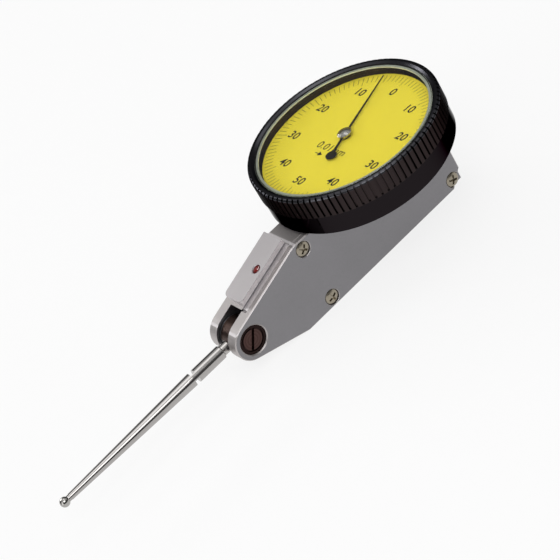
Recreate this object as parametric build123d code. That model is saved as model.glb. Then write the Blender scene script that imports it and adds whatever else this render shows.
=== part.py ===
from build123d import *

from math import atan2, cos, degrees, hypot, pi, radians, sin, sqrt, tan
import os

# Lever type dial test indicator with its dial upwards and its stylus along -X.
# Origin: centre of the front dovetail's top face. +Z is the dial's normal, +X runs to the back.
# All sizes are in millimetres and degrees.

# Body, seen from the side
body_thickness = 8.7
cover_thickness = 1.2
ramp_angle = 17.2
chin_angle = 17.2
boss_radius = 4.05
pivot_to_rail = 11.05
ledge_above_pivot = 9.08
floor_below_pivot = 7.42
dial_behind_pivot = 37.98
rear_behind_dial = 15.3
edge_bevel = 0.22
seam_bevel = 0.12
cover_corner_cut = 3.05

# Dovetail along the ramp
rail_length = 13.8
rail_width = 5.6
rail_height = 1.9
rail_flank_angle = 60.0
rail_corner_radius = 1.1
rail_root = 0.4
shoulder_depth = 0.25
dot_radius = 1.0
dot_floor_radius = 0.8
dot_depth = 0.3
dot_offset = 1.15
dot_fill = 0.16

# Fork of the body that holds the pivot
slot_width = 3.72
slot_radius = 5.3
arm_joint_gap = 0.14
plug_radius = 2.9
plug_recess = 0.35
plug_bore_bevel = 0.2
plug_slot_width = 0.55
plug_slot_depth = 0.5
plug_slot_turn = 32.0
plug_ring_radius = 2.1
plug_ring_width = 0.25
pivot_radius = 0.8
pivot_reach = 3.25
running_gap = 0.03
side_gap = 0.2

# Lever and stylus
fork_wall = 0.39
fork_radius = 3.4
cheek_height = 6.46
drum_to_slot = 1.8
drum_thickness = 2.5
crotch_gap = 0.3
lever_plate = 1.2
lever_plate_low = -0.3
lever_root_width = 3.0
lever_tip_width = 1.8
lever_swing = 1.4143
stylus_length = 44.56
neck_radius = 1.1
neck_end = 5.0
stud_radius = 0.8
stud_length = 2.2
shank_radius = 1.4
shank_bevel = 0.15
flats_start = 11.6
flats_width = 1.0
flats_thickness = 1.3
flats_turn = 36.6
tip_radius = 0.62
tip_collar = 0.5
tip_step = 0.06
ball_radius = 1.0

# Gear train: sector to pinion, then crown wheel to centre pinion
sector_full_teeth = 392
sector_teeth = 9
pinion_teeth = 14
crown_teeth = 100
centre_teeth = 10
crown_radius = 6.0
crown_face = 1.0
crown_disc = 0.6
crown_hole_radius = 1.2
crown_hole_place = 3.0
pressure_angle = 20.0
root_depth_in_modules = 1.25
flank_play = 0.05
flank_steps = 3
sector_rim = 1.1
arbor_radius = 0.5
small_pivot_radius = 0.25
pinion_overhang = 0.15
pocket_gap = 0.5
pocket_roof = 0.8
bush_radius = 1.0
bush_length = 1.3
bush_seat = 0.75
stop_pin_radius = 0.5
stop_pin_place = 23.0
stop_gap = 0.05
arbor_lug_width = 2.4
arbor_lug_height = 0.8

# Dial case, heights from the dial's face
dial_above_ledge = 6.5
case_flange = 0.5
case_flange_inset = 0.55
case_below_dial = 1.25
case_floor = 2.2
case_wall = 3.0
bridge_width = 5.0
bridge_thickness = 0.8
bridge_to_case_screw = 0.6
bridge_foot = 3.0
arbor_hole_play = 0.4

# Bezel, crystal and dial
bezel_radius = 19.5
bezel_band_step = 0.25
bezel_above_dial = 2.5
bezel_flange_gap = 0.1
bezel_wall = 1.3
bezel_fit = 0.07
knurl_below_dial = 1.9
knurl_count = 96
knurl_width = 0.42
knurl_depth = 0.5
rim_rounding = 0.65
rim_land = 0.35
rim_slope = 0.45
rim_width = 1.5
window_height = 1.5
crystal_ledge = 0.75
crystal_thickness = 0.55
seal_thickness = 0.25
dial_thickness = 0.4
clamp_thickness = 0.35
clamp_width = 1.0
ring_wire = 0.5
ring_height = 2.6
ring_play = 0.06
ring_gap_angle = 24.0

# Pointer and hairspring
pointer_angle = 19.5
pointer_to_window = 1.05
pointer_root_width = 0.5
pointer_tip_width = 0.16
pointer_thickness = 0.15
pointer_above_dial = 0.45
tail_start = 4.6
tail_length = 2.2
tail_width = 2.3
pointer_eye_radius = 0.95
hub_radius = 1.45
hub_height = 0.85
hub_side = 0.35
hub_seat_radius = 0.4
dial_hole_radius = 1.0
spring_half_turns = 9
spring_inner_radius = 1.3
stud_to_bridge_foot = 0.5
spring_strip_thickness = 0.14
spring_height = 0.4
collet_radius = 1.15
collet_height = 0.7
stud_pin_radius = 0.4
stud_above_spring = 0.2

# Screws
cover_screw_head_radius = 1.42
cover_screw_head = 0.85
cover_screw_dome = 0.35
cover_screw_radius = 0.8
cover_screw_length = 3.6
counterbore_radius = 1.6
counterbore_depth = 0.7
counterbore_bevel = 0.1
front_screws_ahead = 20.55
screw_to_edge = 1.95
rear_screw_inset = 2.4
case_screw_radius = 0.8
case_screw_head_radius = 1.5
case_screw_head = 0.8
case_screw_length = 4.4
case_screw_to_wall = 0.38
bridge_screw_radius = 0.5
bridge_screw_head_radius = 0.9
bridge_screw_head = 0.4
bridge_screw_length = 2.6
driver_slot = 0.3
driver_cross = 1.9
driver_cross_width = 0.42
driver_cross_depth = 0.6

# Places worked out from the sizes above
half = body_thickness / 2
seam = -half + cover_thickness
slot_half = slot_width / 2
ramp = radians(ramp_angle)
chin = radians(chin_angle)
pivot_x = -pivot_to_rail * cos(ramp) + (rail_height + boss_radius) * sin(ramp)
pivot_z = -pivot_to_rail * sin(ramp) - (rail_height + boss_radius) * cos(ramp)
dial_x = pivot_x + dial_behind_pivot
ledge_z = pivot_z + ledge_above_pivot
floor_z = pivot_z - floor_below_pivot
rear_x = dial_x + rear_behind_dial
dial_z = ledge_z + dial_above_ledge
crown_module = 2 * crown_radius / crown_teeth
crown_outer = crown_radius + crown_face / 2
centre_radius = crown_module * centre_teeth / 2
pocket_radius = crown_outer + pocket_gap
crown_z = ledge_z - pocket_roof - pocket_radius
lever_span = hypot(dial_x - pivot_x, crown_z - pivot_z)
lever_tilt = degrees(atan2(crown_z - pivot_z, dial_x - pivot_x))
sector_module = 2 * lever_span / (sector_full_teeth + pinion_teeth)
sector_radius = sector_module * sector_full_teeth / 2
sector_root = sector_radius - root_depth_in_modules * sector_module
lever_plate_high = lever_plate_low + lever_plate
crown_face_y = -centre_radius - root_depth_in_modules * crown_module
drum_half = drum_thickness / 2
fork_half = slot_half - side_gap
drum_radius = slot_radius - drum_to_slot
crotch_radius = drum_radius + crotch_gap
fork_reach = slot_radius - arm_joint_gap - crotch_gap
band_radius = bezel_radius - bezel_band_step
case_flange_radius = band_radius - case_flange_inset
case_radius = band_radius - bezel_wall - bezel_fit
case_screw_place = case_radius - case_wall - case_screw_head_radius - case_screw_to_wall
bridge_half_span = case_screw_place - case_screw_head_radius - bridge_to_case_screw
crystal_radius = bezel_radius - rim_width
dial_window_radius = crystal_radius - crystal_ledge
pointer_reach = dial_window_radius - pointer_to_window
case_top = -case_below_dial
case_floor_top = -dial_above_ledge + case_floor
bridge_under = case_top - bridge_thickness
bridge_screw_place = bridge_half_span - bridge_foot / 2
spring_low = (case_floor_top + bridge_under - spring_height) / 2
stud_pin_place = bridge_half_span - bridge_foot - stud_to_bridge_foot - stud_pin_radius
spring_end = stud_pin_place - stud_pin_radius - spring_strip_thickness / 2
spring_pitch = 2 * (spring_end - spring_inner_radius) / spring_half_turns
bezel_bottom = -dial_above_ledge + case_flange + bezel_flange_gap
bezel_bore = case_radius + bezel_fit
centre_pinion_top = crown_z + crown_outer + pinion_overhang - dial_z
centre_pinion_bottom = crown_z + crown_outer - crown_face - pinion_overhang - dial_z
cover_screw_depth = cover_screw_length - (cover_thickness - counterbore_depth)
on_ramp = Plane(origin=(0, 0, 0), x_dir=(cos(ramp), 0, sin(ramp)), z_dir=(-sin(ramp), 0, cos(ramp)))
at_dial = Pos(dial_x, 0, dial_z)
screw_turns = (45, 20, 65)
screw_places = [
    (dial_x - front_screws_ahead, ledge_z - screw_to_edge),
    (dial_x - front_screws_ahead, floor_z + screw_to_edge),
    (rear_x - rear_screw_inset, floor_z + screw_to_edge),
]


def prism(plane, profile, height):
    """Extrudes a profile from a plane along its normal, whichever way the profile was drawn."""
    return extrude(plane * profile, height, dir=plane.z_dir)


def across(profile, low, high):
    """Extrudes a profile drawn in X and Z from Y = low to Y = high."""
    return prism(Plane.XZ.offset(-high), profile, high - low)


def crossbar(radius, x, z, low, high):
    """Round bar along Y."""
    return across(Pos(x, z) * Circle(radius), low, high)


def upright(radius, low, high):
    """Round bar along Z on the dial's axis, between two heights from the dial's face."""
    return Pos(0, 0, low) * Cylinder(radius, high - low, align=(Align.CENTER, Align.CENTER, Align.MIN))


def tube(outer, inner, low, high):
    return upright(outer, low, high) - upright(inner, low, high)


def turned(*points):
    """Turns a closed outline of (radius, height) points about Z."""
    return revolve(Plane.XZ * Polygon(*points, align=None), Axis.Z)


def domed(radius, side, dome):
    """Round head that stands on Z = 0: a straight side under a dome of the given height."""
    sphere = (radius**2 + dome**2) / (2 * dome)
    return Pos(0, 0, side + dome - sphere) * Sphere(sphere) & upright(radius, 0, side + dome)


def along_lever(shape):
    """Moves a shape drawn with the pivot at the origin and the crown wheel along its first axis."""
    return Pos(pivot_x, pivot_z) * Rot(0, 0, lever_tilt) * shape


def side_outline():
    """Outline of the body from the side: a round nose between the ramp and the chin."""
    upper = (pivot_x - boss_radius * sin(ramp), pivot_z + boss_radius * cos(ramp))
    lower = (pivot_x - boss_radius * sin(chin), pivot_z - boss_radius * cos(chin))
    ramp_end = (upper[0] + (ledge_z - upper[1]) / tan(ramp), ledge_z)
    chin_end = (lower[0] + (lower[1] - floor_z) / tan(chin), floor_z)
    nose = (pivot_x - boss_radius, pivot_z)
    edge = Polyline(upper, ramp_end, (rear_x, ledge_z), (rear_x, floor_z), chin_end, lower)
    return make_face([edge, ThreePointArc(lower, nose, upper)])


def bevelled(solid, y, size):
    """Bevels the outer outline of the solid's flat face at the given Y."""
    return chamfer(solid.edges().filter_by_position(Axis.Y, y - size / 9, y + size / 9), size)


def bevelled_mouth(x, z, y, radius, size):
    """Cutter for a bevelled mouth of a bore in the side face at the given Y."""
    outwards = 1 if y > 0 else -1
    cone = Cone(radius, radius + 2 * size, 2 * size)
    return Pos(x, y, z) * Rot(-90 * outwards, 0, 0) * cone


def dovetail():
    """Undercut rail on the ramp, its two lower corners rounded."""
    undercut = rail_height / tan(radians(rail_flank_angle))
    top = rail_width / 2
    neck = top - undercut
    section = Polygon(
        (-top, 0),
        (-neck, -rail_height),
        (-neck, -rail_height - rail_root),
        (neck, -rail_height - rail_root),
        (neck, -rail_height),
        (top, 0),
        align=None,
    )
    bar = prism(Plane.YZ.offset(-rail_length / 2), section, rail_length)
    plan = Rectangle(rail_length, rail_width)
    plan = fillet(plan.vertices().sort_by(Axis.X)[:2], rail_corner_radius)
    bar &= prism(Plane.XY.offset(-rail_height - rail_root), plan, rail_height + rail_root)
    return on_ramp * (bar - dimple())


def shoulder():
    """Shallow cut on the ramp, from the rail's upper end along its near side and out into the fork's slot."""
    neck = rail_width / 2 - rail_height / tan(radians(rail_flank_angle))
    low = -rail_length / 2 - slot_radius
    plan = Polygon((low, seam), (rail_length / 2, seam), (rail_length / 2, -neck), (low, -neck), align=None)
    return on_ramp * prism(Plane.XY.offset(-rail_height - shoulder_depth), plan, rail_height)


def dimple():
    """Round hollow with sloping walls in the rail's top face, drawn in the ramp's own frame."""
    cone = Cone(dot_floor_radius, dot_radius, dot_depth, align=(Align.CENTER, Align.CENTER, Align.MIN))
    return Pos(0, -dot_offset, -dot_depth) * cone


def red_dot():
    """Enamel in the bottom of the rail's dimple."""
    level = Pos(0, -dot_offset, -dot_depth) * upright(dot_radius, 0, dot_fill)
    return on_ramp * (dimple() & level)


def lever_channel():
    """Passage for the lever's arm from the fork's slot to the crown wheel's pocket."""
    swing = radians(lever_swing)
    near = lever_root_width / 2 + crotch_radius * swing + pocket_gap
    far = lever_root_width / 2 + sector_radius * swing + pocket_gap
    end = lever_span - pocket_radius / 2
    shape = Polygon((crotch_radius, -near), (crotch_radius, near), (end, far), (end, -far), align=None)
    return across(along_lever(shape), seam, slot_half)


def arbor_lug():
    """Lug on the pocket's back wall that carries the centre arbor's lower pivot."""
    top = dial_z + centre_pinion_bottom - side_gap
    plan = Pos(dial_x, top - arbor_lug_height / 2) * Rectangle(arbor_lug_width, arbor_lug_height)
    lug = across(plan, crown_face_y + crotch_gap, slot_half)
    return lug - at_dial * upright(small_pivot_radius + running_gap, -2 * dial_above_ledge, 0)


def body_frame():
    """Main body: side walls, far arm of the fork, dovetail rail, wheel pocket and bearing seats."""
    frame = across(side_outline(), seam, half)
    frame = bevelled(frame, half, edge_bevel)
    frame = bevelled(frame, seam, seam_bevel)
    frame -= crossbar(slot_radius, pivot_x, pivot_z, seam, slot_half)
    frame -= shoulder()
    frame -= lever_channel()
    frame -= crossbar(pocket_radius, dial_x, crown_z, seam, slot_half)
    frame -= at_dial * upright(arbor_radius + arbor_hole_play, -dial_above_ledge - 2 * pocket_roof, 0)
    frame += arbor_lug()
    frame += dovetail()
    frame -= crossbar(plug_radius, pivot_x, pivot_z, slot_half, half)
    frame -= bevelled_mouth(pivot_x, pivot_z, half, plug_radius, plug_bore_bevel)
    frame -= crossbar(bush_radius, dial_x, crown_z, slot_half, slot_half + bush_seat)
    for x, z in screw_places:
        frame -= crossbar(cover_screw_radius, x, z, seam, seam + cover_screw_depth)
    for side in (-1, 1):
        hole = upright(case_screw_radius, case_floor_top - case_screw_length, 0)
        frame -= Pos(side * case_screw_place, 0, 0) * at_dial * hole
        frame -= stop_pin(side)
    return frame


def side_cover():
    """Near cover plate, thickened at the nose into the near arm of the fork."""
    cover = across(side_outline(), -half, seam)
    cut = sqrt(2) * cover_corner_cut
    corner = Pos(rear_x, floor_z) * Rot(0, 0, 45) * Rectangle(cut, cut)
    cover -= across(corner, -half, seam)
    cover = bevelled(cover, -half, edge_bevel)
    nose = side_outline() & (Pos(pivot_x, pivot_z) * Circle(slot_radius - arm_joint_gap))
    cover += across(nose, seam, -slot_half)
    cover -= crossbar(plug_radius, pivot_x, pivot_z, -half, -slot_half)
    cover -= bevelled_mouth(pivot_x, pivot_z, -half, plug_radius, plug_bore_bevel)
    cover -= crossbar(bush_radius, dial_x, crown_z, seam - bush_seat, seam)
    for x, z in screw_places:
        cover -= crossbar(counterbore_radius, x, z, -half, -half + counterbore_depth)
        cover -= bevelled_mouth(x, z, -half, counterbore_radius, counterbore_bevel)
        cover -= crossbar(cover_screw_radius, x, z, -half, seam)
    return cover


def cover_screws():
    """Three cross recessed screws that hold the side cover to the frame."""
    seat = -half + counterbore_depth
    crown = seat - cover_screw_head
    head = Rot(90, 0, 0) * domed(cover_screw_head_radius, cover_screw_head - cover_screw_dome, cover_screw_dome)
    cross = Rectangle(driver_cross, driver_cross_width) + Rectangle(driver_cross_width, driver_cross)
    screws = []
    for (x, z), turn in zip(screw_places, screw_turns):
        screw = Pos(x, seat, z) * head
        screw -= across(Pos(x, z) * Rot(0, 0, turn) * cross, crown, crown + driver_cross_depth)
        screw += crossbar(cover_screw_radius, x, z, seat, seat + cover_screw_length)
        screws.append(screw)
    return Compound(children=screws)


def pivot_plug(side):
    """Slotted bearing plug in one arm of the fork. Side is -1 for the near arm and 1 for the far one."""
    outer = half - plug_recess
    low, high = sorted((side * slot_half, side * outer))
    plug = crossbar(plug_radius, pivot_x, pivot_z, low, high)
    skin = sorted((side * outer, side * (outer - plug_slot_depth)))
    slot = Rot(0, 0, -plug_slot_turn) * Rectangle(plug_slot_width, 2 * plug_ring_radius)
    plug -= across(Pos(pivot_x, pivot_z) * slot, *skin)
    ring = Pos(pivot_x, pivot_z) * (Circle(plug_ring_radius + plug_ring_width) - Circle(plug_ring_radius))
    skin = sorted((side * outer, side * (outer - plug_slot_depth / 2)))
    plug -= across(ring, *skin)
    bore = sorted((side * slot_half, side * (pivot_reach + running_gap)))
    plug -= crossbar(pivot_radius + running_gap, pivot_x, pivot_z, *bore)
    return plug


def pivot_shaft():
    shaft = crossbar(pivot_radius, pivot_x, pivot_z, -pivot_reach, pivot_reach)
    return chamfer(shaft.edges().filter_by(GeomType.CIRCLE), pivot_radius / 5)


def sector_profile():
    """Teeth of the sector and the rim behind them, with the pivot at the origin."""
    step = 360 / sector_full_teeth
    spread = radians(sector_teeth * step / 2)
    back = sector_root - sector_rim
    rim = Polygon(
        (back, -back * tan(spread)),
        (sector_root, -sector_root * tan(spread)),
        (sector_root, sector_root * tan(spread)),
        (back, back * tan(spread)),
        align=None,
    )
    rim &= Circle(sector_root)
    for k in range(sector_teeth):
        turn = (k - (sector_teeth - 1) / 2) * step
        rim += Rot(0, 0, turn) * tooth(sector_radius, sector_full_teeth, sector_module)
    return rim


def tooth(radius, teeth, module):
    """One involute tooth along the first axis, sunk a little into the gear's root."""
    base = radius * cos(radians(pressure_angle))
    tip = radius + module
    root = radius - root_depth_in_modules * module
    half_tooth = pi / 2 / teeth - flank_play / 2 / radius
    spread = involute(radius / base)
    start = max(base, root)
    flank = []
    for k in range(flank_steps + 1):
        r = start + (tip - start) * k / flank_steps
        angle = half_tooth + spread - involute(r / base)
        flank.append((r * cos(angle), -r * sin(angle)))
    first = atan2(flank[0][1], flank[0][0])
    foot = root - module / 4
    flank.insert(0, (foot * cos(first), foot * sin(first)))
    other_flank = [(x, -y) for x, y in reversed(flank)]
    return Polygon(*flank, *other_flank, align=None)


def involute(ratio):
    """Polar angle of the involute where the radius is this many base radii."""
    climb = sqrt(max(ratio**2 - 1, 0))
    return climb - atan2(climb, 1)


def pinion_profile(teeth, module, phase):
    """Full gear outline in which one tooth lies at the phase angle."""
    radius = module * teeth / 2
    gear = Circle(radius - root_depth_in_modules * module)
    for k in range(teeth):
        gear += Rot(0, 0, phase + 360 * k / teeth) * tooth(radius, teeth, module)
    return gear


def sector_lever():
    """Forked lever: two cheeks around the stylus drum, a long arm and the toothed sector."""
    root = lever_root_width / 2
    cheek = Circle(fork_radius) + Polygon(
        (0, -cheek_height / 2), (fork_reach, -root), (fork_reach, root), (0, cheek_height / 2), align=None
    )
    lever = across(along_lever(cheek), -fork_half, fork_half)
    lever -= crossbar(crotch_radius, pivot_x, pivot_z, -drum_half - running_gap, drum_half + running_gap)
    back = sector_root - sector_rim / 2
    tip = lever_tip_width / 2
    start = crotch_radius + fork_wall
    arm = Polygon((start, -root), (back, -tip), (back, tip), (start, root), align=None)
    lever += across(along_lever(arm), lever_plate_low, lever_plate_high)
    lever += across(along_lever(sector_profile()), lever_plate_low, lever_plate_high)
    lever -= crossbar(pivot_radius, pivot_x, pivot_z, -fork_half, fork_half)
    return lever


def stop_pin(side):
    """Pin in the pocket's back wall that the lever's arm meets at one end of its swing."""
    root = lever_root_width / 2
    tip = lever_tip_width / 2
    arm_half = root + (tip - root) * (stop_pin_place - crotch_radius) / (sector_radius - crotch_radius)
    lift = arm_half + stop_pin_place * sin(radians(lever_swing)) + stop_pin_radius + stop_gap
    spot = along_lever(Pos(stop_pin_place, side * lift) * Circle(stop_pin_radius))
    return across(spot, lever_plate_low, slot_half + bush_seat)


def stop_pins():
    return Compound(children=[stop_pin(-1), stop_pin(1)])


def stylus_holder():
    """Drum between the lever's cheeks with the threaded neck for the stylus."""
    drum = crossbar(drum_radius, 0, 0, -drum_half, drum_half)
    drum += Rot(0, -90, 0) * Cylinder(neck_radius, neck_end, align=(Align.CENTER, Align.CENTER, Align.MIN))
    drum -= crossbar(pivot_radius + running_gap, 0, 0, -drum_half, drum_half)
    socket = Cylinder(stud_radius, stud_length, align=(Align.CENTER, Align.CENTER, Align.MIN))
    drum -= Rot(0, -90, 0) * Pos(0, 0, neck_end - stud_length) * socket
    return Pos(pivot_x, 0, pivot_z) * drum


def stylus():
    """Tapered stylus with its stud, wrench flats and the small collar that holds the ball."""
    collar = stylus_length - sqrt(ball_radius**2 - tip_radius**2)
    shape = turned(
        (0, neck_end - stud_length),
        (stud_radius, neck_end - stud_length),
        (stud_radius, neck_end),
        (shank_radius - shank_bevel, neck_end),
        (shank_radius, neck_end + shank_bevel),
        (shank_radius, flats_start + flats_width),
        (tip_radius + tip_step, collar - tip_collar),
        (tip_radius, collar - tip_collar),
        (tip_radius, stylus_length),
        (0, stylus_length),
    )
    shape -= Pos(0, 0, stylus_length) * Sphere(ball_radius)
    for side in (-1, 1):
        gap = Box(4 * shank_radius, shank_radius, flats_width)
        shape -= Pos(0, side * (flats_thickness + shank_radius) / 2, flats_start + flats_width / 2) * gap
    return Pos(pivot_x, 0, pivot_z) * Rot(0, -90, 0) * Rot(0, 0, flats_turn - 90) * shape


def stylus_ball():
    return Pos(pivot_x - stylus_length, 0, pivot_z) * Rot(0, -90, 0) * Sphere(ball_radius)


def crown_wheel():
    """Crown wheel whose teeth stand on its face, towards the centre pinion."""
    wheel = crossbar(crown_outer, 0, 0, crown_face_y - crown_disc, crown_face_y)
    height = (1 + root_depth_in_modules) * crown_module
    lean = crown_module * tan(radians(pressure_angle))
    thick = pi * crown_module / 2 - flank_play
    low = thick / 2 + root_depth_in_modules * lean
    high = thick / 2 - lean
    section = Polygon((-low, 0), (low, 0), (high, height), (-high, height), align=None)
    bar = prism(Plane.XY, section, crown_face)
    bar = Pos(0, crown_face_y, crown_radius - crown_face / 2) * bar
    teeth = [Rot(0, 360 * k / crown_teeth, 0) * bar for k in range(crown_teeth)]
    wheel = wheel + teeth
    wheel -= crossbar(arbor_radius, 0, 0, crown_face_y - crown_disc, crown_face_y)
    for k in range(3):
        spot = Rot(0, 0, 120 * k) * Pos(crown_hole_place, 0) * Circle(crown_hole_radius)
        wheel -= across(spot, crown_face_y - crown_disc, crown_face_y)
    return Pos(dial_x, 0, crown_z) * wheel


def crown_arbor():
    """Arbor of the crown wheel, with the pinion that the sector drives cut on it."""
    near = seam + bush_length - bush_seat + running_gap
    far = slot_half - bush_length + bush_seat - running_gap
    arbor = crossbar(arbor_radius, 0, 0, near, far)
    arbor += crossbar(small_pivot_radius, 0, 0, near - bush_length + side_gap, far + bush_length - side_gap)
    phase = 180 + lever_tilt + 180 / pinion_teeth
    pinion = pinion_profile(pinion_teeth, sector_module, phase)
    low = lever_plate_low - pinion_overhang
    high = min(lever_plate_high + pinion_overhang, far)
    arbor += across(pinion, low, high)
    return Pos(dial_x, 0, crown_z) * arbor


def crown_bushes():
    """Two bearing bushes of the crown wheel's arbor, in the cover and in the frame."""
    bushes = []
    for low in (seam - bush_seat, slot_half + bush_seat - bush_length):
        where = (dial_x, crown_z, low, low + bush_length)
        bushes.append(crossbar(bush_radius, *where) - crossbar(small_pivot_radius + running_gap, *where))
    return Compound(children=bushes)


def dial_case():
    """Round case on the body's ledge: flange, drum with the snap ring's groove, and a shallow recess."""
    low = -dial_above_ledge
    flange = low + case_flange
    groove = ring_wire / 2 + ring_play
    wire = case_radius + bezel_fit / 2
    case = turned(
        (0, low),
        (case_flange_radius, low),
        (case_flange_radius, flange),
        (case_radius, flange),
        (case_radius, -ring_height - groove),
        (wire - groove, -ring_height - groove),
        (wire - groove, -ring_height + groove),
        (case_radius, -ring_height + groove),
        (case_radius, case_top),
        (case_radius - case_wall, case_top),
        (case_radius - case_wall, case_floor_top),
        (0, case_floor_top),
    )
    case -= upright(arbor_radius + arbor_hole_play, low, 0)
    for side in (-1, 1):
        case -= Pos(side * case_screw_place, 0, 0) * upright(case_screw_radius, low, 0)
        seat = case_floor_top - case_screw_head / 2
        case -= Pos(side * case_screw_place, 0, 0) * upright(case_screw_head_radius, seat, 0)
        thread = upright(bridge_screw_radius, case_top - bridge_screw_length, 0)
        case -= Pos(side * bridge_screw_place, 0, 0) * thread
    case -= stud_place() * upright(stud_pin_radius, case_floor_top - case_floor / 2, 0)
    return at_dial * case


def arbor_bridge():
    """Strap over the recess that carries the centre arbor's upper bearing."""
    inner = bridge_half_span - bridge_foot
    section = Polygon(
        (-bridge_half_span, case_floor_top),
        (-bridge_half_span, case_top),
        (bridge_half_span, case_top),
        (bridge_half_span, case_floor_top),
        (inner, case_floor_top),
        (inner, bridge_under),
        (-inner, bridge_under),
        (-inner, case_floor_top),
        align=None,
    )
    strap = across(section, -bridge_width / 2, bridge_width / 2)
    corners = strap.edges().filter_by(Axis.Z).sort_by(lambda edge: -abs(edge.center().X))[:4]
    strap = fillet(corners, bridge_width / 4)
    strap -= upright(bush_radius, case_floor_top, 0)
    for side in (-1, 1):
        strap -= Pos(side * bridge_screw_place, 0, 0) * upright(bridge_screw_radius, case_floor_top, 0)
    return at_dial * strap


def arbor_bush():
    """Bearing bush of the centre arbor, pressed into the bridge."""
    return at_dial * tube(bush_radius, arbor_radius + running_gap, bridge_under, case_top)


def pan_screw(place, radius, head_radius, head, seat, length):
    """Slotted cheese head screw, driven downwards, on a seat at the given height."""
    screw = upright(head_radius, seat, seat + head)
    slot = Box(3 * head_radius, driver_slot, head, align=(Align.CENTER, Align.CENTER, Align.MIN))
    screw -= Pos(0, 0, seat + head / 2) * slot
    screw += upright(radius, seat - length, seat)
    return at_dial * Pos(place, 0, 0) * screw


def bridge_screws():
    sizes = (bridge_screw_radius, bridge_screw_head_radius, bridge_screw_head, case_top, bridge_screw_length)
    return Compound(children=[pan_screw(side * bridge_screw_place, *sizes) for side in (-1, 1)])


def case_screws():
    seat = case_floor_top - case_screw_head / 2
    length = case_screw_length - case_screw_head / 2
    sizes = (case_screw_radius, case_screw_head_radius, case_screw_head, seat, length)
    return Compound(children=[pan_screw(side * case_screw_place, *sizes) for side in (-1, 1)])


def centre_arbor():
    """Upright arbor: lower pivot, centre pinion, long stem and the seat of the pointer's hub."""
    low = centre_pinion_bottom
    lug_low = low - side_gap - arbor_lug_height
    stem = upright(arbor_radius, centre_pinion_top, pointer_above_dial)
    stem += upright(small_pivot_radius, lug_low, low)
    phase = -90 + 180 / centre_teeth
    pinion = pinion_profile(centre_teeth, crown_module, phase)
    stem += prism(Plane.XY.offset(low), pinion, centre_pinion_top - low)
    pointer_top = pointer_above_dial + pointer_thickness
    stem += upright(hub_seat_radius, pointer_above_dial, pointer_top + hub_height / 3)
    return at_dial * stem


def spiral(offset):
    """Half circles that grow by half the pitch each, as one line moved outwards by the offset."""
    arcs = []
    start = spring_inner_radius
    for k in range(spring_half_turns):
        side = (-1) ** k
        end = start + spring_pitch / 2
        middle = side * (start - end) / 2
        reach = side * ((start + end) / 2 + offset)
        points = [(middle + reach, 0), (middle, reach), (middle - reach, 0)]
        arcs.append(ThreePointArc(*points))
        start = end
    return arcs


def hairspring():
    """Flat spiral from the collet out to the stud."""
    inner = spiral(-spring_strip_thickness / 2)
    outer = spiral(spring_strip_thickness / 2)
    ends = [Line(inner[0] @ 0, outer[0] @ 0), Line(inner[-1] @ 1, outer[-1] @ 1)]
    strip = make_face([*inner, *outer, *ends])
    return at_dial * prism(Plane.XY.offset(spring_low), strip, spring_height)


def stud_place():
    """Moves a shape from the dial's axis to the hairspring's outer end."""
    side = (-1) ** spring_half_turns
    return Pos(side * stud_pin_place, 0, 0)


def spring_stud():
    top = spring_low + spring_height + stud_above_spring
    return at_dial * stud_place() * upright(stud_pin_radius, case_floor_top - case_floor / 2, top)


def spring_collet():
    """Round collet on the centre arbor, beside the hairspring's inner end."""
    middle = spring_low + spring_height / 2
    low = middle - collet_height / 2
    return at_dial * tube(collet_radius, arbor_radius, low, low + collet_height)


def pointer():
    """Thin tapered blade with a round eye and an oval counterweight behind it."""
    blade = Polygon(
        (0, -pointer_root_width / 2),
        (pointer_reach, -pointer_tip_width / 2),
        (pointer_reach, pointer_tip_width / 2),
        (0, pointer_root_width / 2),
        align=None,
    )
    blade += Pos(-tail_start / 2, 0) * Rectangle(tail_start + tail_length / 4, pointer_root_width)
    blade += Pos(-tail_start - tail_length / 2, 0) * Ellipse(tail_length / 2, tail_width / 2)
    blade += Circle(pointer_eye_radius)
    blade -= Circle(hub_seat_radius)
    blade = Rot(0, 0, pointer_angle) * blade
    return at_dial * prism(Plane.XY.offset(pointer_above_dial), blade, pointer_thickness)


def pointer_hub():
    """Polished domed cap that grips the pointer on its arbor."""
    low = pointer_above_dial + pointer_thickness
    cap = Pos(0, 0, low) * domed(hub_radius, hub_side, hub_height - hub_side)
    cap -= upright(hub_seat_radius, low, low + hub_height / 3)
    return at_dial * cap


def bezel():
    """Knurled turning bezel with its crystal seat, rounded rim and snap ring groove."""
    top = bezel_above_dial
    low = bezel_bottom
    step = -knurl_below_dial
    seat = window_height
    groove = ring_wire / 2 + ring_play
    wire = case_radius + bezel_fit / 2
    land = bezel_radius - rim_rounding - rim_land
    inner = crystal_radius
    with_corner = turned(
        (bezel_bore, low),
        (band_radius, low),
        (band_radius, step),
        (bezel_radius, step),
        (bezel_radius, top),
        (land, top),
        (inner, top - rim_slope),
        (inner, seat),
        (dial_window_radius, seat),
        (dial_window_radius, 0),
        (bezel_bore, 0),
        (bezel_bore, -ring_height + groove),
        (wire + groove, -ring_height + groove),
        (wire + groove, -ring_height - groove),
        (bezel_bore, -ring_height - groove),
    )
    top_edges = with_corner.edges().filter_by(GeomType.CIRCLE).group_by(Axis.Z)[-1]
    ring = fillet(top_edges.sort_by(lambda edge: -edge.radius)[0], rim_rounding)
    notch = Pos(bezel_radius, 0, step) * Box(
        2 * knurl_depth, knurl_width, top - step, align=(Align.CENTER, Align.CENTER, Align.MIN)
    )
    ring -= [Rot(0, 0, 360 * k / knurl_count) * notch for k in range(knurl_count)]
    return at_dial * ring


def crystal():
    low = window_height + seal_thickness
    disc = upright(crystal_radius, low, low + crystal_thickness)
    return at_dial * chamfer(disc.edges().group_by(Axis.Z)[-1], crystal_thickness / 5)


def crystal_seal():
    return at_dial * tube(crystal_radius, dial_window_radius, window_height, window_height + seal_thickness)


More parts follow.
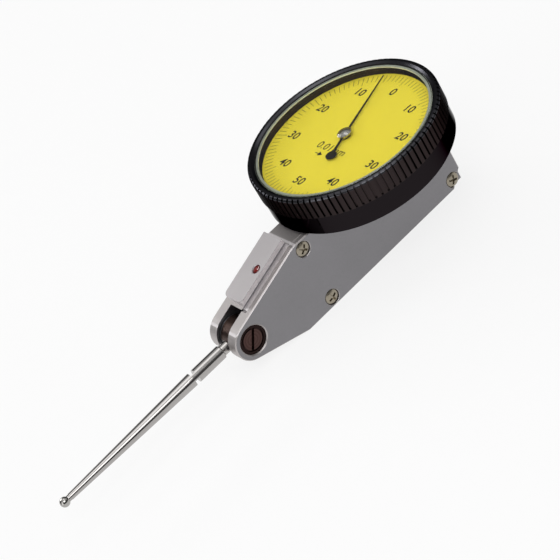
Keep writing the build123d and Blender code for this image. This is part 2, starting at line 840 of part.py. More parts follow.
def dial_plate():
    """Printed dial, turned together with the bezel."""
    return at_dial * tube(bezel_bore, dial_hole_radius, -dial_thickness, 0)


def dial_clamp():
    """Snap ring that holds the dial up against the bezel's shoulder."""
    high = -dial_thickness
    return at_dial * tube(bezel_bore, bezel_bore - clamp_width, high - clamp_thickness, high)


def snap_ring():
    """Open ring of square wire that keeps the bezel on its case and lets it turn."""
    r = case_radius + bezel_fit / 2
    section = Plane.XZ * Pos(r, 0) * Rectangle(ring_wire, ring_wire)
    wire = revolve(section, Axis.Z, 360 - ring_gap_angle)
    return at_dial * Pos(0, 0, -ring_height) * Rot(0, 0, ring_gap_angle / 2) * wire


def build():
    os.makedirs("parts", exist_ok=True)
    nodes = {
        "body_frame": body_frame(),
        "side_cover": side_cover(),
        "cover_screws": cover_screws(),
        "red_dot": red_dot(),
        "near_pivot_plug": pivot_plug(-1),
        "far_pivot_plug": pivot_plug(1),
        "crown_bushes": crown_bushes(),
        "lever_stop_pins": stop_pins(),
        "dial_case": dial_case(),
        "case_screws": case_screws(),
        "arbor_bridge": arbor_bridge(),
        "bridge_screws": bridge_screws(),
        "arbor_bush": arbor_bush(),
        "hairspring": hairspring(),
        "spring_stud": spring_stud(),
        "snap_ring": snap_ring(),
        "bezel": bezel(),
        "crystal": crystal(),
        "crystal_seal": crystal_seal(),
        "dial_plate": dial_plate(),
        "dial_clamp": dial_clamp(),
        "pointer": pointer(),
        "pointer_hub": pointer_hub(),
        "centre_arbor": centre_arbor(),
        "spring_collet": spring_collet(),
        "crown_wheel": crown_wheel(),
        "crown_arbor": crown_arbor(),
        "sector_lever": sector_lever(),
        "pivot_shaft": pivot_shaft(),
        "stylus_holder": stylus_holder(),
        "stylus": stylus(),
        "stylus_ball": stylus_ball(),
    }
    for name, shape in nodes.items():
        export_step(shape, f"parts/{name}.step")


build()
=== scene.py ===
import math
import bpy
from mathutils import Matrix, Vector


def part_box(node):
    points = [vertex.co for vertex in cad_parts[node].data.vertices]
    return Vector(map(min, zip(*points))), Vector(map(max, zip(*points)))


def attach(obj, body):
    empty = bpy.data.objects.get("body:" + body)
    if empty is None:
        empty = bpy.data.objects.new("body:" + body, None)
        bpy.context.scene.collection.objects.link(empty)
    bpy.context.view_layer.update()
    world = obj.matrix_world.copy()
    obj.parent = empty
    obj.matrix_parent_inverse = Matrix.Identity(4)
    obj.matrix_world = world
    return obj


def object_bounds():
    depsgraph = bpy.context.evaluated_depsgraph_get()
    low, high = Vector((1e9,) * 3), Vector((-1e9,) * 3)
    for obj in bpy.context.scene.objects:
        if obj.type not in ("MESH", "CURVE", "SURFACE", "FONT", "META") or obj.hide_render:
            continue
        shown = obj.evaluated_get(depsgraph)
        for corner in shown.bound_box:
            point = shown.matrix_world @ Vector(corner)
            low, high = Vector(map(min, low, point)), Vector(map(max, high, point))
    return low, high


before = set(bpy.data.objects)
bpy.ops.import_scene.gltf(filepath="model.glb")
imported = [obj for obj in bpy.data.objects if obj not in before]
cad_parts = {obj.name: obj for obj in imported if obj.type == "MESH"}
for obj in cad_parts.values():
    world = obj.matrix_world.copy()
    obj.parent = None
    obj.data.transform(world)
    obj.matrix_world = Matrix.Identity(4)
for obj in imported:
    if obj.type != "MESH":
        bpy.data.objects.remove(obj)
cad_low, cad_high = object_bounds()

# All lengths below are in metres, written as so many millimetres.
MM = 0.001

# Dial print, measured on the photo from the dial's centre
DIVISIONS = 100
TICK_OUTER = 16.75 * MM
TICK_LONG = 2.35 * MM
TICK_MIDDLE = 2.0 * MM
TICK_SHORT = 1.65 * MM
TICK_WIDTH = 0.08 * MM
INK = 0.012 * MM
NUMBERS = 10
NUMBER_RADIUS = 12.64 * MM
NUMBER_HEIGHT = 1.88 * MM
NUMBER_BOLDNESS = 0.016
UNIT_PLACE = (-3.77 * MM, 0.25 * MM)
UNIT_HEIGHT = 1.75 * MM
UNIT_BOLDNESS = 0.002
ARROW_PLACE = (-5.7 * MM, 1.6 * MM)
ARROW_LENGTH = 1.1 * MM
LETTER_SLANT = 0.1
LETTER_GAP = 1.06
# Capital height of Blender's own font as a share of its size
CAPITAL_SHARE = 0.73

# The dovetail's ramp rises towards +X
RAMP = math.radians(17.2)
RAIL_HEIGHT = 1.9 * MM

# Where finishes change: each pair is where a change starts and where it is complete
# Satin chrome, as heights over the ramp. The shoulder is the shallow cut beside the rail
RAIL_STARTS = (0.02 * MM, 0.12 * MM)
RAIL_TOP_STARTS = (RAIL_HEIGHT - 0.1 * MM, RAIL_HEIGHT - 0.05 * MM)
SHOULDER_STARTS = (-0.35 * MM, -0.3 * MM)
SHOULDER_ENDS = (-0.2 * MM, -0.1 * MM)
# Sideways part of a face's normal where grinding ends and blasting starts
BLASTED_STARTS = (0.75, 0.82)
# Black bezel: depth of the smooth band's top below the dial's face, and heights over that top
BAND_DEPTH = 1.95 * MM
GRIP_STARTS = (0.0, 0.06 * MM)
RIM_STARTS = (3.9 * MM, 4.0 * MM)
# Seal: how far inside its outer edge the black ring beside the rim starts
SEAL_BLACK_RING_INSET = (0.3 * MM, 0.24 * MM)
# Plug: distances from its axis over which the painted shade at its edge sets in, and the pitch of its turned rings
PLUG_EDGE_SHADE_STARTS = (1.9 * MM, 2.2 * MM)
PLUG_RING_PITCH = 0.6 * MM
# Stylus holder: half the length over which its bright neck turns into the painted shade of the drum
NECK_CHANGE = 0.1 * MM
# Red dot
DIMPLE_RADIUS = 0.9 * MM
DIMPLE_DEPTH = 0.25 * MM

# How strongly coats and the crystal bend light
COAT_IOR = 1.5
ACRYLIC_IOR = 1.49

# Camera found by fitting the numeral ring, the bezel's edge and the body's straight edges
CAMERA_FROM_DIAL = (-126.56 * MM, -282.29 * MM, 196.35 * MM)
CAMERA_RIGHT = (0.694299, -0.571665, -0.437204)
CAMERA_UP = (0.665026, 0.277385, 0.693396)
CAMERA_FOCAL_PIXELS = 1981.3
IMAGE_WIDTH = 560
SENSOR_WIDTH = 36
SEEN_FROM, SEEN_TO = 0.01, 20

# Share of plain white in what is seen of the floor, its half side in metres, and its gap under the object
FLOOR_LIFT = 0.8
FLOOR_HALF = 6.0
FLOOR_GAP = 0.02 * MM

# Light of the room on matt surfaces, then as metal and the crystal show it low down and overhead,
# and the upward part of a direction where the one turns into the other
ROOM_LEVEL = 0.5
ROOM_DARK = 0.1
ROOM_BRIGHT = 0.7
ROOM_TURNS = (0.58, 0.85)


# Nodes

def linear(code):
    """Turns an sRGB hex colour into the linear values that shaders take."""
    values = [int(code[k:k + 2], 16) / 255 for k in (1, 3, 5)]
    return (*[c / 12.92 if c <= 0.04045 else ((c + 0.055) / 1.055) ** 2.4 for c in values], 1.0)


def add(tree, kind, inputs=None, **settings):
    """Adds a node with its settings. Each input is a value or the output of another node."""
    made = tree.nodes.new(kind)
    for name, value in settings.items():
        setattr(made, name, value)
    for name, value in (inputs or {}).items():
        if isinstance(value, bpy.types.NodeSocket):
            tree.links.new(value, made.inputs[name])
        else:
            made.inputs[name].default_value = value
    return made


def number(tree, operation, *values):
    """Result of a calculation with numbers."""
    return add(tree, "ShaderNodeMath", dict(enumerate(values)), operation=operation).outputs[0]


def vector(tree, operation, *values):
    """Result of a calculation with vectors, which is a number for a dot product or a length."""
    made = add(tree, "ShaderNodeVectorMath", dict(enumerate(values)), operation=operation).outputs
    return made["Value" if operation in ("DOT_PRODUCT", "LENGTH") else "Vector"]


def place_on(tree):
    """Place of a surface point in metres, in the shared frame at rest, so a finish moves with its piece."""
    return add(tree, "ShaderNodeTexCoord").outputs["Object"]


def height_over(tree, normal, offset):
    """Distance of a surface point over a plane, in metres."""
    return number(tree, "SUBTRACT", vector(tree, "DOT_PRODUCT", place_on(tree), normal), offset)


def distance_from(tree, centre, keep=(1, 1, 1)):
    """Distance of a surface point from a centre, in metres, where only the kept axes count."""
    away = vector(tree, "SUBTRACT", place_on(tree), centre)
    return vector(tree, "LENGTH", vector(tree, "MULTIPLY", away, keep))


def grain(tree, size, detail=2.0, stretch=(1, 1, 1), turn=(0, 0, 0)):
    """Noise whose lumps have the given size in metres, from 0 to 1 about a half."""
    inputs = {"Vector": place_on(tree), "Rotation": turn, "Scale": stretch}
    place = add(tree, "ShaderNodeMapping", inputs).outputs[0]
    return add(tree, "ShaderNodeTexNoise", {"Vector": place, "Scale": 1 / size, "Detail": detail}).outputs["Fac"]


def spread(tree, value, low, high, from_low=0.3, from_high=0.7):
    """Maps a value from one range to another, held at the ends."""
    inputs = {"Value": value, "From Min": from_low, "From Max": from_high, "To Min": low, "To Max": high}
    return add(tree, "ShaderNodeMapRange", inputs).outputs["Result"]


def rising(tree, value, start, end):
    """0 up to the start and 1 from the end on."""
    return spread(tree, value, 0.0, 1.0, start, end)


def falling(tree, value, start, end):
    """1 up to the start and 0 from the end on."""
    return spread(tree, value, 1.0, 0.0, start, end)


def between(tree, share, first, second):
    """The first number where the share is 0 and the second where it is 1."""
    return spread(tree, share, first, second, 0.0, 1.0)


def blend_colours(tree, share, first, second):
    """The first colour where the share is 0 and the second where it is 1.
    The mix node keeps its colours in inputs 6 and 7 and output 2."""
    return add(tree, "ShaderNodeMix", {0: share, 6: first, 7: second}, data_type="RGBA").outputs[2]


def relief(tree, height, depth, strength=1.0, normal=None):
    """Surface normal with a height drawn into it, over another relief where one is given."""
    inputs = {"Height": height, "Distance": depth, "Strength": strength}
    if normal is not None:
        inputs["Normal"] = normal
    return add(tree, "ShaderNodeBump", inputs).outputs[0]


# Finishes

def new_material(name):
    """Empty material and its node tree."""
    made = bpy.data.materials.new(name)
    made.use_nodes = True
    made.node_tree.nodes.clear()
    return made, made.node_tree


def finish_with(tree, inputs):
    """Ends a material with one general shader."""
    shader = add(tree, "ShaderNodeBsdfPrincipled", inputs)
    add(tree, "ShaderNodeOutputMaterial", {"Surface": shader.outputs[0]})


def satin_chrome():
    """Satin chrome plate on blasted steel: a soft grey sheen with a fine even grain.
    The ramp and the dovetail rail are ground, so they are lighter and have fine marks along the ramp.
    The rail's flanks and the shallow cut beside the rail are painted nearly white: a painted highlight that lifts
    the shade in the rail's undercut."""
    made, tree = new_material("satin_chrome_plate")
    # blasting grit leaves dimples of about 0.05 mm, drawn at 0.3 mm so that they show
    pits = grain(tree, 0.3 * MM, 3.0)
    cloud = grain(tree, 9 * MM)

    normal = add(tree, "ShaderNodeNewGeometry").outputs["Normal"]
    sideways = add(tree, "ShaderNodeSeparateXYZ", {"Vector": normal}).outputs["Y"]
    ground = falling(tree, number(tree, "ABSOLUTE", sideways), *BLASTED_STARTS)
    over = height_over(tree, (-math.sin(RAMP), 0, math.cos(RAMP)), -RAIL_HEIGHT)
    rail = rising(tree, over, *RAIL_STARTS)
    flank = number(tree, "MULTIPLY", falling(tree, over, *RAIL_TOP_STARTS), rail)
    low, high = rising(tree, over, *SHOULDER_STARTS), falling(tree, over, *SHOULDER_ENDS)
    shoulder = number(tree, "MULTIPLY", number(tree, "MULTIPLY", high, low), ground)
    # Where the painted highlight goes: the rail's flanks and the shallow cut beside the rail
    painted_highlight_mask = number(tree, "MAXIMUM", flank, shoulder)

    plain_tone = blend_colours(tree, cloud, linear("#828183"), linear("#8B898C"))
    ramp_tone = blend_colours(tree, cloud, linear("#B6B1B0"), linear("#C2BDBC"))
    rail_tone = blend_colours(tree, cloud, linear("#BAB6B7"), linear("#C8C4C5"))
    # Painted highlight: a near-white tone that lifts the shade in the rail's undercut
    flank_painted_highlight_tone = blend_colours(tree, cloud, linear("#EAE6E7"), linear("#F2EEEF"))
    colour = blend_colours(tree, ground, plain_tone, blend_colours(tree, rail, ramp_tone, rail_tone))
    colour = blend_colours(tree, painted_highlight_mask, colour, flank_painted_highlight_tone)

    rough = between(tree, ground, spread(tree, pits, 0.36, 0.46), 0.5)
    rough = between(tree, painted_highlight_mask, rough, 0.62)
    # grinding marks of a few hundredths of a millimetre, drawn 0.15 mm wide and some millimetres long
    marks = grain(tree, 1.5 * MM, 2.0, (0.15, 10, 1), (0, -RAMP, 0))
    marks = number(tree, "MULTIPLY", marks, ground)
    finish_with(tree, {
        "Base Color": colour,
        "Metallic": 1.0,
        "Roughness": rough,
        "Normal": relief(tree, marks, 0.004 * MM, 0.6, relief(tree, pits, 0.003 * MM, 0.7)),
    })
    return made


def metal(name, dark, light, rough, size, depth=0.001 * MM):
    """Bare or plated metal with a slight change of tone and gloss at the given grain size."""
    made, tree = new_material(name)
    marks = grain(tree, size, 3.0)
    finish_with(tree, {
        "Base Color": blend_colours(tree, marks, linear(dark), linear(light)),
        "Metallic": 1.0,
        "Roughness": spread(tree, marks, *rough),
        "Normal": relief(tree, marks, depth),
    })
    return made


def coated(name, dark, light, rough, size, depth, gloss):
    """Lacquer or printing ink: a coloured body under its own skin."""
    made, tree = new_material(name)
    marks = grain(tree, size, 3.0)
    finish_with(tree, {
        "Base Color": blend_colours(tree, marks, linear(dark), linear(light)),
        "Roughness": spread(tree, marks, *rough),
        "IOR": COAT_IOR,
        "Specular IOR Level": gloss,
        "Normal": relief(tree, marks, depth),
    })
    return made


def black_bezel(dial_top):
    """Black anodised aluminium: the knurled grip is dull and a little lighter and browner than the band,
    the band below it is turned smooth and mirrors the body, and the rim is painted a lighter grey as a painted
    highlight."""
    made, tree = new_material("black_anodised_aluminium")
    marks = grain(tree, 0.35 * MM, 3.0)
    over = height_over(tree, (0, 0, 1), dial_top - BAND_DEPTH)
    grip = rising(tree, over, *GRIP_STARTS)
    rim = rising(tree, over, *RIM_STARTS)
    colour = blend_colours(tree, grip, linear("#221E20"), linear("#332C2C"))
    finish_with(tree, {
        # Painted highlight: the rim gets a lighter grey than the rest of the bezel
        "Base Color": blend_colours(tree, rim, colour, linear("#4B4B4F")),
        "Metallic": 1.0,
        "Roughness": between(tree, rim, between(tree, grip, 0.07, 0.34), 0.24),
        "Specular Tint": linear("#8A8A8A"),
        "Normal": relief(tree, marks, 0.0015 * MM, 0.5),
    })
    return made


def clear_crystal():
    """Cast acrylic: clear, polished, and light passes it without a dark shadow."""
    made, tree = new_material("clear_acrylic")
    solid = add(tree, "ShaderNodeBsdfPrincipled", {
        "Base Color": linear("#FBFCFC"),
        "Roughness": spread(tree, grain(tree, 3 * MM), 0.0, 0.03),
        "IOR": ACRYLIC_IOR,
        "Transmission Weight": 1.0,
    }).outputs[0]
    open_way = add(tree, "ShaderNodeBsdfTransparent", {"Color": linear("#F9FAFA")}).outputs[0]
    shadow = add(tree, "ShaderNodeLightPath").outputs["Is Shadow Ray"]
    mixed = add(tree, "ShaderNodeMixShader", {0: shadow, 1: solid, 2: open_way}).outputs[0]
    add(tree, "ShaderNodeOutputMaterial", {"Surface": mixed})
    return made


def moulded_seal(centre, outer):
    """Moulded rubber: light grey green at the crystal, and black in a ring at its outer edge beside the rim."""
    made, tree = new_material("grey_moulded_seal")
    marks = grain(tree, 0.3 * MM, 3.0)
    radius = distance_from(tree, centre, (1, 1, 0))
    # The seal turns black in a ring at its outer edge, beside the rim
    seal_black_ring = rising(tree, radius, *[outer - inset for inset in SEAL_BLACK_RING_INSET])
    light = blend_colours(tree, marks, linear("#DADED0"), linear("#E4E7DA"))
    finish_with(tree, {
        "Base Color": blend_colours(tree, seal_black_ring, light, linear("#161616")),
        "Roughness": spread(tree, marks, 0.5, 0.62),
        "IOR": COAT_IOR,
        "Normal": relief(tree, marks, 0.002 * MM),
    })
    return made


def turned_steel():
    """Hardened steel, ground and polished: bright and dark streaks run along the stylus."""
    made, tree = new_material("polished_tool_steel")
    # polishing leaves marks of a few hundredths of a millimetre, drawn 0.1 mm wide
    marks = grain(tree, 2.5 * MM, 3.0, (0.3, 20, 20))
    finish_with(tree, {
        "Base Color": blend_colours(tree, marks, linear("#A3A09E"), linear("#B3B0AE")),
        "Metallic": 1.0,
        "Roughness": spread(tree, marks, 0.1, 0.15),
        "Normal": relief(tree, marks, 0.0005 * MM, 0.05),
    })
    return made


def holder_steel(neck_x):
    """Tool steel: the drum is painted dark brown as painted shade of its place deep in the fork, and the neck in
    front of it is bright.
    """
    made, tree = new_material("steel_with_painted_shade_on_drum")
    marks = grain(tree, 0.3 * MM, 3.0)
    along = add(tree, "ShaderNodeSeparateXYZ", {"Vector": place_on(tree)}).outputs["X"]
    neck = falling(tree, along, neck_x - NECK_CHANGE, neck_x + NECK_CHANGE)
    # Painted shade: the drum inside the fork is coloured dark brown
    drum = blend_colours(tree, marks, linear("#3A2C28"), linear("#55443E"))
    finish_with(tree, {
        "Base Color": blend_colours(tree, neck, drum, linear("#B4B1AE")),
        "Metallic": 1.0,
        "Roughness": between(tree, neck, 0.34, 0.16),
        "Normal": relief(tree, marks, 0.0008 * MM, 0.5),
    })
    return made


def turned_plug(centre):
    """Black oxide on a turned steel plug: brownish black, with the turning tool's rings round its middle, and
    painted darker towards its edge as painted shade of its bore.
    """
    made, tree = new_material("black_oxide_turned_steel")
    radius = distance_from(tree, centre, (1, 0, 1))
    # the turning tool leaves rings of a few hundredths of a millimetre, drawn 0.6 mm apart
    rings = number(tree, "SINE", number(tree, "MULTIPLY", radius, 2 * math.pi / PLUG_RING_PITCH))
    rings = rising(tree, rings, -1.0, 1.0)
    ringed = blend_colours(tree, rings, linear("#44322F"), linear("#4F3C39"))
    finish_with(tree, {
        # Painted shade: the plug turns darker towards its edge, where it sits in its bore
        "Base Color": blend_colours(tree, rising(tree, radius, *PLUG_EDGE_SHADE_STARTS), ringed, linear("#261C1B")),
        "Metallic": 1.0,
        "Roughness": spread(tree, grain(tree, 0.3 * MM), 0.26, 0.36),
        "Normal": relief(tree, rings, 0.02 * MM, 0.35),
    })
    return made


def red_fill(centre):
    """Red enamel that has shrunk into its dimple: dark, glossy and hollow like a small bowl, with one glint, and
    painted darker towards the dimple's edge as painted shade.
    """
    made, tree = new_material("red_enamel")
    bowl = number(tree, "POWER", number(tree, "DIVIDE", distance_from(tree, centre), DIMPLE_RADIUS), 2.0)
    finish_with(tree, {
        # Painted shade: the enamel darkens towards the edge of its dimple
        "Base Color": blend_colours(tree, bowl, linear("#7A0D09"), linear("#340504")),
        "Roughness": spread(tree, grain(tree, 0.4 * MM), 0.08, 0.16),
        "Coat Weight": 0.3,
        "Coat Roughness": 0.05,
        "Normal": relief(tree, bowl, DIMPLE_DEPTH),
    })
    return made


def seen_directly(tree):
    """1 for what the camera sees, also in metal and through the crystal."""
    path = add(tree, "ShaderNodeLightPath").outputs
    seen = number(tree, "MAXIMUM", path["Is Camera Ray"], path["Is Glossy Ray"])
    return number(tree, "MAXIMUM", seen, path["Is Transmission Ray"])


def floor_material():
    """Matt pale paper. Its underside is open, so that the object can also be seen from below."""
    made, tree = new_material("pale_paper")
    paper = add(tree, "ShaderNodeBsdfPrincipled", {
        "Base Color": blend_colours(tree, grain(tree, 4 * MM), linear("#F4F4F4"), linear("#F7F7F7")),
        "Roughness": 0.9,
        "Specular IOR Level": 0.1,
    }).outputs[0]
    lift = number(tree, "MULTIPLY", seen_directly(tree), FLOOR_LIFT)
    white = add(tree, "ShaderNodeEmission", {"Color": linear("#FFFFFF"), "Strength": 1.0}).outputs[0]
    lifted = add(tree, "ShaderNodeMixShader", {0: lift, 1: paper, 2: white}).outputs[0]
    below = add(tree, "ShaderNodeNewGeometry").outputs["Backfacing"]
    nothing = add(tree, "ShaderNodeBsdfTransparent").outputs[0]
    mixed = add(tree, "ShaderNodeMixShader", {0: below, 1: lifted, 2: nothing}).outputs[0]
    add(tree, "ShaderNodeOutputMaterial", {"Surface": mixed})
    return made


def dress(material, *nodes):
    """Gives CAD nodes a finish."""
    for name in nodes:
        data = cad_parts[name].data
        if data.materials:
            data.materials[0] = material
        else:
            data.materials.append(material)


# Pieces

def in_scene(name, data):
    """Puts a mesh, a text, a lamp or a camera in the scene."""
    made = bpy.data.objects.new(name, data)
    bpy.context.scene.collection.objects.link(made)
    return made


def mesh_piece(name, verts, faces, material):
    """Piece from its corners and faces."""
    mesh = bpy.data.meshes.new(name)
    mesh.from_pydata(verts, [], faces)
    mesh.materials.append(material)
    return in_scene(name, mesh)


def plain_piece(source, name):
    """Turns an object with modifiers, or a text, into a plain mesh piece and removes the source."""
    bpy.context.view_layer.update()
    seen = source.evaluated_get(bpy.context.evaluated_depsgraph_get())
    mesh = bpy.data.meshes.new_from_object(seen)
    mesh.name = name
    source.modifiers.clear()
    bpy.data.objects.remove(source)
    return in_scene(name, mesh)


def ring_of_ticks(centre, material):
    """Dial divisions as thin bars of ink: every tenth is the longest and every fifth is longer."""
    tree = bpy.data.node_groups.new("dial_divisions", "GeometryNodeTree")
    sizes = {
        "Count": ("NodeSocketInt", DIVISIONS),
        "Outer Radius": ("NodeSocketFloat", TICK_OUTER),
        "Long": ("NodeSocketFloat", TICK_LONG),
        "Middle": ("NodeSocketFloat", TICK_MIDDLE),
        "Short": ("NodeSocketFloat", TICK_SHORT),
        "Width": ("NodeSocketFloat", TICK_WIDTH),
        "Thickness": ("NodeSocketFloat", INK),
        "Centre": ("NodeSocketVector", centre),
        "Ink": ("NodeSocketMaterial", material),
    }
    tree.interface.new_socket("Geometry", in_out="OUTPUT", socket_type="NodeSocketGeometry")
    made = {
        name: tree.interface.new_socket(name, in_out="INPUT", socket_type=kind)
        for name, (kind, _) in sizes.items()
    }
    given = add(tree, "NodeGroupInput").outputs
    index = add(tree, "GeometryNodeInputIndex").outputs[0]

    def every(count):
        """True for a tick whose number is a multiple of the count."""
        return number(tree, "COMPARE", number(tree, "MODULO", index, count), 0.0, 0.1)

    def choose(test, yes, no):
        inputs = {"Switch": test, "True": yes, "False": no}
        return add(tree, "GeometryNodeSwitch", inputs, input_type="FLOAT").outputs[0]

    angle = number(tree, "MULTIPLY", index, number(tree, "DIVIDE", 2 * math.pi, given["Count"]))
    length = choose(every(10.0), given["Long"], choose(every(5.0), given["Middle"], given["Short"]))
    radius = number(tree, "SUBTRACT", given["Outer Radius"], number(tree, "DIVIDE", length, 2.0))
    spot = add(tree, "ShaderNodeCombineXYZ", {
        "X": number(tree, "MULTIPLY", radius, number(tree, "COSINE", angle)),
        "Y": number(tree, "MULTIPLY", radius, number(tree, "SINE", angle)),
        "Z": number(tree, "DIVIDE", given["Thickness"], 2.0),
    }).outputs[0]
    points = add(tree, "GeometryNodePoints", {
        "Count": given["Count"],
        "Position": vector(tree, "ADD", spot, given["Centre"]),
    }).outputs[0]
    bars = add(tree, "GeometryNodeInstanceOnPoints", {
        "Points": points,
        "Instance": add(tree, "GeometryNodeMeshCube", {"Size": (1, 1, 1)}).outputs[0],
        "Rotation": add(tree, "ShaderNodeCombineXYZ", {"Z": angle}).outputs[0],
        "Scale": add(tree, "ShaderNodeCombineXYZ", {
            "X": length, "Y": given["Width"], "Z": given["Thickness"]}).outputs[0],
    }).outputs[0]
    real = add(tree, "GeometryNodeRealizeInstances", {"Geometry": bars}).outputs[0]
    inked = add(tree, "GeometryNodeSetMaterial", {"Geometry": real, "Material": given["Ink"]}).outputs[0]
    add(tree, "NodeGroupOutput", {"Geometry": inked})

    holder = in_scene("tick_maker", bpy.data.meshes.new("tick_maker"))
    modifier = holder.modifiers.new("divisions", "NODES")
    modifier.node_group = tree
    for name, (_, value) in sizes.items():
        modifier[made[name].identifier] = value
    return plain_piece(holder, "dial_ticks")


def printed(name, lines, base, material, boldness):
    """Words or numbers in ink on a base height, each as (text, x, y, height). Their tops point to +X."""
    verts, faces = [], []
    for k, (text, x, y, height) in enumerate(lines):
        letters = bpy.data.curves.new(f"letters_{k}", "FONT")
        letters.body = text
        letters.align_x = "CENTER"
        letters.align_y = "CENTER"
        letters.size = 1.0
        letters.shear = LETTER_SLANT
        letters.space_character = LETTER_GAP
        letters.offset = boldness
        letters.extrude = 0.5
        piece = plain_piece(in_scene(f"letters_{k}", letters), f"letters_mesh_{k}")
        scale = height / CAPITAL_SHARE
        place = Matrix.Translation((x, y, base + INK / 2)) @ Matrix.Rotation(-math.pi / 2, 4, "Z")
        piece.data.transform(place @ Matrix.Diagonal((scale, scale, INK, 1)))
        start = len(verts)
        verts += [tuple(v.co) for v in piece.data.vertices]
        faces += [tuple(start + i for i in p.vertices) for p in piece.data.polygons]
        bpy.data.objects.remove(piece)
    return mesh_piece(name, verts, faces, material)


def arrow(centre, material):
    """Small printed triangle that points to -Y, with a short stem. Its corners are shares of its length."""
    x, y, z = centre
    head = [(0, -0.6), (-0.5, 0.4), (0.5, 0.4)]
    stem = [(-0.08, 0.4), (-0.08, 1.3), (0.08, 1.3), (0.08, 0.4)]
    verts, faces = [], []
    for shares in (head, stem):
        ring = [(x + across * ARROW_LENGTH, y + along * ARROW_LENGTH) for across, along in shares]
        start, n = len(verts), len(ring)
        verts += [(px, py, z) for px, py in ring] + [(px, py, z + INK) for px, py in ring]
        faces.append([start + i for i in reversed(range(n))])
        faces.append([start + n + i for i in range(n)])
        for i in range(n):
            following = (i + 1) % n
            faces.append([start + i, start + following, start + n + following, start + n + i])
    return mesh_piece("dial_arrow", verts, faces, material)


def middle(node):
    """Middle of a CAD node's box."""
    low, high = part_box(node)
    return tuple((low[k] + high[k]) / 2 for k in range(3))


def softbox(name, place, target, size, watts):
    """Soft rectangular lamp. Its place, target and size are in metres."""
    lamp = bpy.data.lights.new(name, "AREA")
    lamp.shape = "RECTANGLE"
    lamp.size, lamp.size_y = size
    lamp.energy = watts
    made = in_scene(name, lamp)
    made.location = place
    made.rotation_euler = (Vector(target) - Vector(place)).to_track_quat("-Z", "Y").to_euler()


def room():
    """World that is white to the camera. Metal and the crystal show a room that is dark low down and
    bright overhead, and matt surfaces get an even light from it."""
    world = bpy.data.worlds.new("studio")
    world.use_nodes = True
    tree = world.node_tree
    tree.nodes.clear()
    path = add(tree, "ShaderNodeLightPath").outputs
    direction = add(tree, "ShaderNodeTexCoord").outputs["Generated"]
    rise = add(tree, "ShaderNodeSeparateXYZ", {"Vector": direction}).outputs["Z"]
    mirrored = spread(tree, rise, ROOM_DARK, ROOM_BRIGHT, *ROOM_TURNS)
    sharp = number(tree, "MAXIMUM", path["Is Glossy Ray"], path["Is Transmission Ray"])
    level = between(tree, sharp, ROOM_LEVEL, mirrored)
    level = between(tree, path["Is Camera Ray"], level, 1.0)
    sky = add(tree, "ShaderNodeBackground", {"Color": linear("#FFFFFF"), "Strength": level})
    add(tree, "ShaderNodeOutputWorld", {"Surface": sky.outputs[0]})
    return world


# Finishes of the CAD nodes
dial_low, dial_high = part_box("dial_plate")
dial_top = dial_high.z
dial_centre = Vector(((dial_low.x + dial_high.x) / 2, (dial_low.y + dial_high.y) / 2, dial_top))

ink = coated("black_printing_ink", "#0B0A08", "#14130F", (0.45, 0.6), 0.2 * MM, 0.001 * MM, 0.25)
yellow = coated("yellow_dial_lacquer", "#F9E43A", "#FBE842", (0.6, 0.7), 0.5 * MM, 0.001 * MM, 0.2)
needle_black = coated("matt_black_lacquer", "#080807", "#100F0E", (0.5, 0.6), 0.3 * MM, 0.002 * MM, 0.15)
nickel = metal("nickel_plate", "#8F8779", "#A39B8B", (0.22, 0.32), 0.5 * MM)
brass = metal("machined_brass", "#B8974F", "#C7A65E", (0.25, 0.38), 0.3 * MM)
bronze = metal("rolled_spring_bronze", "#A5794A", "#B58A58", (0.2, 0.3), 0.3 * MM)
tool_steel = metal("hardened_tool_steel", "#7B7B7D", "#8C8C8E", (0.25, 0.35), 0.3 * MM)
spring_steel = metal("spring_steel", "#66676B", "#77787B", (0.3, 0.42), 0.3 * MM)
mirror_steel = metal("polished_steel", "#A5A3A0", "#B1AFAC", (0.05, 0.1), 1.5 * MM, 0.0005 * MM)

dress(satin_chrome(), "body_frame", "side_cover")
dress(nickel, "cover_screws", "case_screws", "bridge_screws")
dress(red_fill(middle("red_dot")), "red_dot")
dress(turned_plug(middle("near_pivot_plug")), "near_pivot_plug", "far_pivot_plug")
dress(holder_steel(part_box("sector_lever")[0].x), "stylus_holder")
dress(brass, "crown_bushes", "arbor_bridge", "arbor_bush", "spring_stud", "spring_collet", "crown_wheel")
dress(tool_steel, "lever_stop_pins", "sector_lever", "pivot_shaft", "crown_arbor", "centre_arbor")
dress(bronze, "hairspring")
dress(spring_steel, "snap_ring", "dial_clamp")
dress(black_bezel(dial_top), "bezel", "dial_case")
dress(clear_crystal(), "crystal")
seal_low, seal_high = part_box("crystal_seal")
dress(moulded_seal(middle("crystal_seal"), (seal_high.x - seal_low.x) / 2), "crystal_seal")
dress(yellow, "dial_plate")
dress(needle_black, "pointer")
dress(mirror_steel, "pointer_hub", "stylus_ball")
dress(turned_steel(), "stylus")

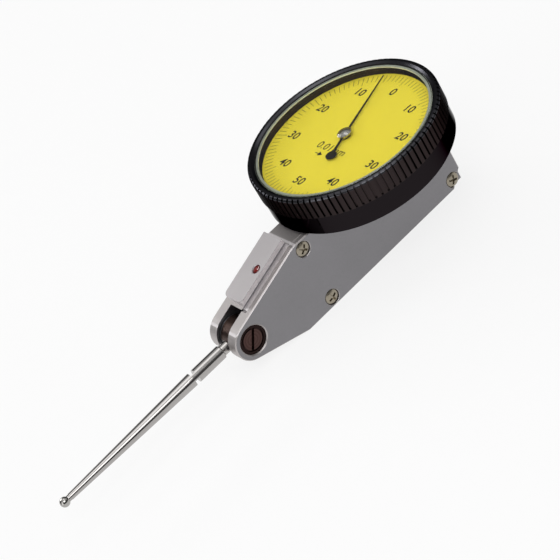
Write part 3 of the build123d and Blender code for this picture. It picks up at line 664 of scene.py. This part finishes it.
# Print on the dial: the numbers rise to 50 on both sides of the 0
ticks = ring_of_ticks(dial_centre, ink)
numbers = []
for k in range(NUMBERS):
    value = DIVISIONS // NUMBERS * min(k, NUMBERS - k)
    turn = math.radians(360 / NUMBERS * k)
    x = dial_centre.x + NUMBER_RADIUS * math.cos(turn)
    y = dial_centre.y + NUMBER_RADIUS * math.sin(turn)
    numbers.append((str(value), x, y, NUMBER_HEIGHT))
print_numbers = printed("dial_numbers", numbers, dial_top, ink, NUMBER_BOLDNESS)
unit = ("0.01mm", dial_centre.x + UNIT_PLACE[0], dial_centre.y + UNIT_PLACE[1], UNIT_HEIGHT)
print_unit = printed("dial_unit", [unit], dial_top, ink, UNIT_BOLDNESS)
print_arrow = arrow((dial_centre.x + ARROW_PLACE[0], dial_centre.y + ARROW_PLACE[1], dial_top), ink)
for piece in (ticks, print_numbers, print_unit, print_arrow):
    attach(piece, "bezel")

# Floor under the body's flat bottom, a light room and soft lamps
floor_z = cad_low.z - FLOOR_GAP
corners = [(-1, -1), (1, -1), (1, 1), (-1, 1)]
corners = [(FLOOR_HALF * x, FLOOR_HALF * y, floor_z) for x, y in corners]
floor = mesh_piece("floor", corners, [(0, 1, 2, 3)], floor_material())
bpy.context.scene.world = room()

softbox("key_lamp", (-0.2, -0.6, 0.8), (0.02, 0, 0), (0.7, 0.5), 3.0)
softbox("side_lamp", (-0.85, -0.05, 0.45), (0.02, 0, 0), (0.3, 0.4), 0.9)
softbox("top_lamp", (0.12, 0.05, 0.85), (0.02, 0, 0), (0.5, 0.3), 0.6)
softbox("back_lamp", (-0.26, 0.68, 0.66), (0.02, 0, 0), (0.3, 0.25), 0.42)
softbox("right_lamp", (0.75, -0.15, 0.6), (0.02, 0, 0), (0.35, 0.35), 0.35)
softbox("low_lamp", (-0.95, -0.3, 0.14), (-0.02, 0, 0), (0.4, 0.22), 0.9)
softbox("rim_lamp", (-0.26, 0.95, 0.33), (0.02, 0, 0), (0.5, 0.12), 1.8)

# Camera of the photo
camera = bpy.data.cameras.new("camera")
camera.sensor_width = SENSOR_WIDTH
camera.lens = SENSOR_WIDTH * CAMERA_FOCAL_PIXELS / IMAGE_WIDTH
camera.clip_start, camera.clip_end = SEEN_FROM, SEEN_TO
right, up = Vector(CAMERA_RIGHT), Vector(CAMERA_UP)
turned = Matrix((right, up, right.cross(up))).transposed().to_4x4()
eye = in_scene("camera", camera)
eye.matrix_world = Matrix.Translation(dial_centre + Vector(CAMERA_FROM_DIAL)) @ turned
bpy.context.scene.camera = eye
bpy.context.scene.view_settings.view_transform = "Standard"
